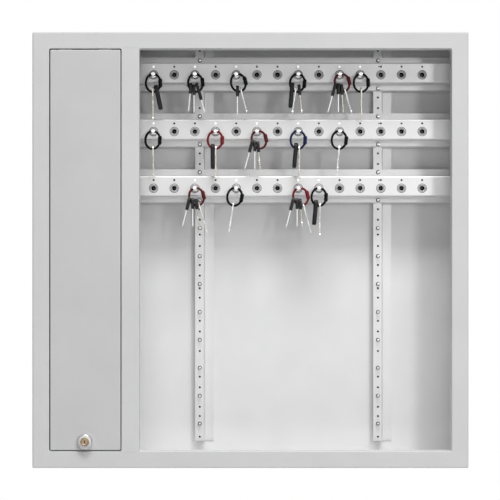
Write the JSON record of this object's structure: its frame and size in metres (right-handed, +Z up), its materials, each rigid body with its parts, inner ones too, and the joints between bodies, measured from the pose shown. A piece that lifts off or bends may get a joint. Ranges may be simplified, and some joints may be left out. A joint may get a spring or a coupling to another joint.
{
  "type": "key cabinet",
  "caption": "Wall-mounted steel key cabinet with strips of locking sockets, key pegs with ringed keys, and a lockable service compartment.",
  "frame": {"origin": "centre of the back face, on the wall", "axes": "+X to the right seen from the front, +Y into the wall, +Z up; the front faces -Y"},
  "size_m": [0.73, 0.1285, 0.73],
  "materials": {
    "case_paint": "satin powder coat",
    "cover_paint": "satin powder coat",
    "strip_paint": "smooth satin",
    "zinc": "zinc plated",
    "nickel": "satin nickel",
    "peg_nickel": "bright nickel",
    "brass": "worn satin",
    "circuit_board": "green solder mask",
    "aluminium": "plain sheet",
    "black_plastic": "matt",
    "black_rubber": "matt",
    "ribbon_cable": "ribbed",
    "ring_black": "plastic-coated steel ring with steel keys",
    "ring_dark_red": "plastic-coated steel ring with steel keys",
    "ring_red": "plastic-coated steel ring with steel keys",
    "ring_blue": "plastic-coated steel ring with steel keys"
  },
  "bodies": {
    "cabinet": {"cabinet_shell": "case_paint", "front_frame": "case_paint", "partition": "case_paint", "rail_left": "case_paint", "rail_right": "case_paint", "strip_housing_1": "strip_paint", "strip_housing_2": "strip_paint", "strip_housing_3": "strip_paint", "lock_module_1": "circuit_board", "lock_module_2": "circuit_board", "lock_module_3": "circuit_board", "electronics_plate": "zinc", "control_board": "circuit_board", "power_supply": "aluminium", "terminal_block": "black_plastic", "backup_battery": "black_plastic", "battery_shelf": "zinc", "battery_strap": "zinc", "cable_grommet": "black_rubber", "main_ribbon": "ribbon_cable", "link_ribbon_1": "ribbon_cable", "link_ribbon_2": "ribbon_cable"},
    "cover": {"compartment_cover": "cover_paint", "lock_body": "nickel", "lock_nut": "zinc"},
    "plug": {"lock_plug": "brass", "lock_cam": "zinc", "cam_screw": "zinc"},
    "peg_01": {"key_peg_01": "peg_nickel"},
    "bunch_01": {"key_bunch_01": "ring_black"},
    "peg_02": {"key_peg_02": "peg_nickel"},
    "bunch_02": {"key_bunch_02": "ring_black"},
    "peg_03": {"key_peg_03": "peg_nickel"},
    "bunch_03": {"key_bunch_03": "ring_black"},
    "peg_04": {"key_peg_04": "peg_nickel"},
    "bunch_04": {"key_bunch_04": "ring_black"},
    "peg_05": {"key_peg_05": "peg_nickel"},
    "bunch_05": {"key_bunch_05": "ring_dark_red"},
    "peg_06": {"key_peg_06": "peg_nickel"},
    "bunch_06": {"key_bunch_06": "ring_black"},
    "peg_07": {"key_peg_07": "peg_nickel"},
    "bunch_07": {"key_bunch_07": "ring_black"},
    "peg_08": {"key_peg_08": "peg_nickel"},
    "bunch_08": {"key_bunch_08": "ring_red"},
    "peg_09": {"key_peg_09": "peg_nickel"},
    "bunch_09": {"key_bunch_09": "ring_dark_red"},
    "peg_10": {"key_peg_10": "peg_nickel"},
    "bunch_10": {"key_bunch_10": "ring_blue"},
    "peg_11": {"key_peg_11": "peg_nickel"},
    "bunch_11": {"key_bunch_11": "ring_black"},
    "peg_12": {"key_peg_12": "peg_nickel"},
    "bunch_12": {"key_bunch_12": "ring_dark_red"},
    "peg_13": {"key_peg_13": "peg_nickel"},
    "bunch_13": {"key_bunch_13": "ring_black"},
    "peg_14": {"key_peg_14": "peg_nickel"},
    "bunch_14": {"key_bunch_14": "ring_red"},
    "peg_15": {"key_peg_15": "peg_nickel"},
    "bunch_15": {"key_bunch_15": "ring_black"}
  },
  "joints": [
    {"name": "cover_tilt", "type": "hinge", "parent": "cabinet", "child": "cover", "pos_m": [-0.276, -0.1192, 0.336], "axis": [-1, 0, 0], "range_deg": [0, 80]},
    {"name": "lock_turn", "type": "hinge", "parent": "cover", "child": "plug", "pos_m": [-0.2765, -0.11, -0.32], "axis": [0, 1, 0], "range_deg": [0, 90]},
    {"name": "peg_01_pull", "type": "slide", "parent": "cabinet", "child": "peg_01", "axis": [0, -1, 0], "range_m": [0, 0.045]},
    {"name": "bunch_01_swing", "type": "hinge", "parent": "peg_01", "child": "bunch_01", "pos_m": [-0.1659, -0.0693, 0.3002], "axis": [-1, 0, 0], "range_deg": [-4, 55]},
    {"name": "peg_02_pull", "type": "slide", "parent": "cabinet", "child": "peg_02", "axis": [0, -1, 0], "range_m": [0, 0.045]},
    {"name": "bunch_02_swing", "type": "hinge", "parent": "peg_02", "child": "bunch_02", "pos_m": [-0.0951, -0.0693, 0.3002], "axis": [-1, 0, 0], "range_deg": [-4, 55]},
    {"name": "peg_03_pull", "type": "slide", "parent": "cabinet", "child": "peg_03", "axis": [0, -1, 0], "range_m": [0, 0.045]},
    {"name": "bunch_03_swing", "type": "hinge", "parent": "peg_03", "child": "bunch_03", "pos_m": [-0.0243, -0.0693, 0.3002], "axis": [-1, 0, 0], "range_deg": [-4, 55]},
    {"name": "peg_04_pull", "type": "slide", "parent": "cabinet", "child": "peg_04", "axis": [0, -1, 0], "range_m": [0, 0.045]},
    {"name": "bunch_04_swing", "type": "hinge", "parent": "peg_04", "child": "bunch_04", "pos_m": [0.0819, -0.0693, 0.3002], "axis": [-1, 0, 0], "range_deg": [-4, 55]},
    {"name": "peg_05_pull", "type": "slide", "parent": "cabinet", "child": "peg_05", "axis": [0, -1, 0], "range_m": [0, 0.045]},
    {"name": "bunch_05_swing", "type": "hinge", "parent": "peg_05", "child": "bunch_05", "pos_m": [0.1527, -0.0693, 0.3002], "axis": [-1, 0, 0], "range_deg": [-4, 55]},
    {"name": "peg_06_pull", "type": "slide", "parent": "cabinet", "child": "peg_06", "axis": [0, -1, 0], "range_m": [0, 0.045]},
    {"name": "bunch_06_swing", "type": "hinge", "parent": "peg_06", "child": "bunch_06", "pos_m": [0.1881, -0.0693, 0.3002], "axis": [-1, 0, 0], "range_deg": [-4, 55]},
    {"name": "peg_07_pull", "type": "slide", "parent": "cabinet", "child": "peg_07", "axis": [0, -1, 0], "range_m": [0, 0.045]},
    {"name": "bunch_07_swing", "type": "hinge", "parent": "peg_07", "child": "bunch_07", "pos_m": [-0.1659, -0.0693, 0.203], "axis": [-1, 0, 0], "range_deg": [-4, 55]},
    {"name": "peg_08_pull", "type": "slide", "parent": "cabinet", "child": "peg_08", "axis": [0, -1, 0], "range_m": [0, 0.045]},
    {"name": "bunch_08_swing", "type": "hinge", "parent": "peg_08", "child": "bunch_08", "pos_m": [-0.0597, -0.0693, 0.203], "axis": [-1, 0, 0], "range_deg": [-4, 55]},
    {"name": "peg_09_pull", "type": "slide", "parent": "cabinet", "child": "peg_09", "axis": [0, -1, 0], "range_m": [0, 0.045]},
    {"name": "bunch_09_swing", "type": "hinge", "parent": "peg_09", "child": "bunch_09", "pos_m": [0.0111, -0.0693, 0.203], "axis": [-1, 0, 0], "range_deg": [-4, 55]},
    {"name": "peg_10_pull", "type": "slide", "parent": "cabinet", "child": "peg_10", "axis": [0, -1, 0], "range_m": [0, 0.045]},
    {"name": "bunch_10_swing", "type": "hinge", "parent": "peg_10", "child": "bunch_10", "pos_m": [0.0819, -0.0693, 0.203], "axis": [-1, 0, 0], "range_deg": [-4, 55]},
    {"name": "peg_11_pull", "type": "slide", "parent": "cabinet", "child": "peg_11", "axis": [0, -1, 0], "range_m": [0, 0.045]},
    {"name": "bunch_11_swing", "type": "hinge", "parent": "peg_11", "child": "bunch_11", "pos_m": [0.1527, -0.0693, 0.203], "axis": [-1, 0, 0], "range_deg": [-4, 55]},
    {"name": "peg_12_pull", "type": "slide", "parent": "cabinet", "child": "peg_12", "axis": [0, -1, 0], "range_m": [0, 0.045]},
    {"name": "bunch_12_swing", "type": "hinge", "parent": "peg_12", "child": "bunch_12", "pos_m": [-0.0951, -0.0693, 0.1058], "axis": [-1, 0, 0], "range_deg": [-4, 55]},
    {"name": "peg_13_pull", "type": "slide", "parent": "cabinet", "child": "peg_13", "axis": [0, -1, 0], "range_m": [0, 0.045]},
    {"name": "bunch_13_swing", "type": "hinge", "parent": "peg_13", "child": "bunch_13", "pos_m": [-0.0243, -0.0693, 0.1058], "axis": [-1, 0, 0], "range_deg": [-4, 55]},
    {"name": "peg_14_pull", "type": "slide", "parent": "cabinet", "child": "peg_14", "axis": [0, -1, 0], "range_m": [0, 0.045]},
    {"name": "bunch_14_swing", "type": "hinge", "parent": "peg_14", "child": "bunch_14", "pos_m": [0.0819, -0.0693, 0.1058], "axis": [-1, 0, 0], "range_deg": [-4, 55]},
    {"name": "peg_15_pull", "type": "slide", "parent": "cabinet", "child": "peg_15", "axis": [0, -1, 0], "range_m": [0, 0.045]},
    {"name": "bunch_15_swing", "type": "hinge", "parent": "peg_15", "child": "bunch_15", "pos_m": [0.1173, -0.0693, 0.1058], "axis": [-1, 0, 0], "range_deg": [-4, 55]}
  ]
}
